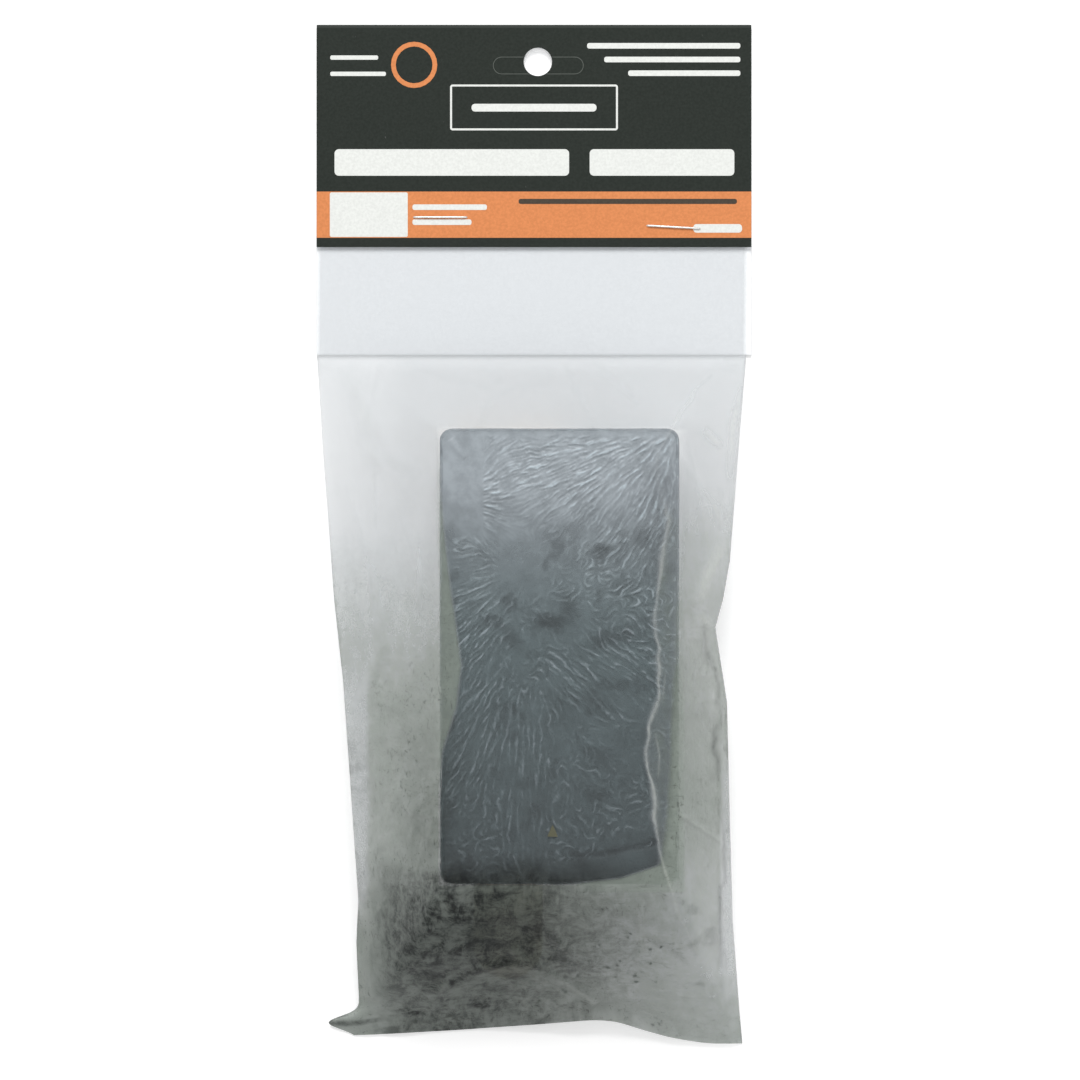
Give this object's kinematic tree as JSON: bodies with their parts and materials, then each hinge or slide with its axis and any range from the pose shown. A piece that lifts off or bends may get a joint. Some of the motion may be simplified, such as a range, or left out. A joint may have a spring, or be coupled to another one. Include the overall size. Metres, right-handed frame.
{
  "type": "packaged charcoal block",
  "caption": "Drawing charcoal block wrapped in film, packed over a sandpaper paddle in a clear dusty bag, with a folded header card stapled on and punched for a peg hook.",
  "frame": {"origin": "under the middle of the whole pack, on the surface that it lies on", "axes": "+Z out of the pack's front face, +Y from the bottom of the bag to the card, +X to the right"},
  "size_m": [0.1016, 0.2384, 0.0334],
  "materials": {
    "card_printed": "printed card, satin",
    "staple_wire": "bright wire",
    "bag_film": "clear film, dusty inside",
    "wrap_film": "clinging film, finely wrinkled",
    "charcoal": "matt compressed charcoal",
    "paddle_wood": "bare basswood",
    "sandpaper": "fine grit on paper"
  },
  "bodies": {
    "pouch": {"bag_front_film": "bag_film", "bag_back_film": "bag_film", "bag_bottom_seal": "bag_film", "charcoal_crumbs": "charcoal"},
    "block": {"charcoal_block": "charcoal", "block_wrap": "wrap_film"},
    "paddle": {"paddle_board": "paddle_wood", "paddle_staple": "staple_wire", "sandpaper_sheet_01": "sandpaper", "sandpaper_sheet_02": "sandpaper", "sandpaper_sheet_03": "sandpaper", "sandpaper_sheet_04": "sandpaper", "sandpaper_sheet_05": "sandpaper", "sandpaper_sheet_06": "sandpaper", "sandpaper_sheet_07": "sandpaper", "sandpaper_sheet_08": "sandpaper", "sandpaper_sheet_09": "sandpaper", "sandpaper_sheet_10": "sandpaper", "sandpaper_sheet_11": "sandpaper", "sandpaper_sheet_12": "sandpaper"},
    "header": {"header_card": "card_printed", "header_staples": "staple_wire", "bag_neck_film": "bag_film"}
  },
  "joints": [
    {"name": "block_slide", "type": "slide", "parent": "pouch", "child": "block", "axis": [0, 1, 0], "range_m": [-0.014, 0.008]},
    {"name": "paddle_slide", "type": "slide", "parent": "pouch", "child": "paddle", "axis": [0, 1, 0], "range_m": [-0.004, 0.012]},
    {"name": "header_fold", "type": "hinge", "parent": "pouch", "child": "header", "pos_m": [0, 0.0417, 0.00125], "axis": [1, 0, 0], "range_deg": [0, 75]}
  ]
}
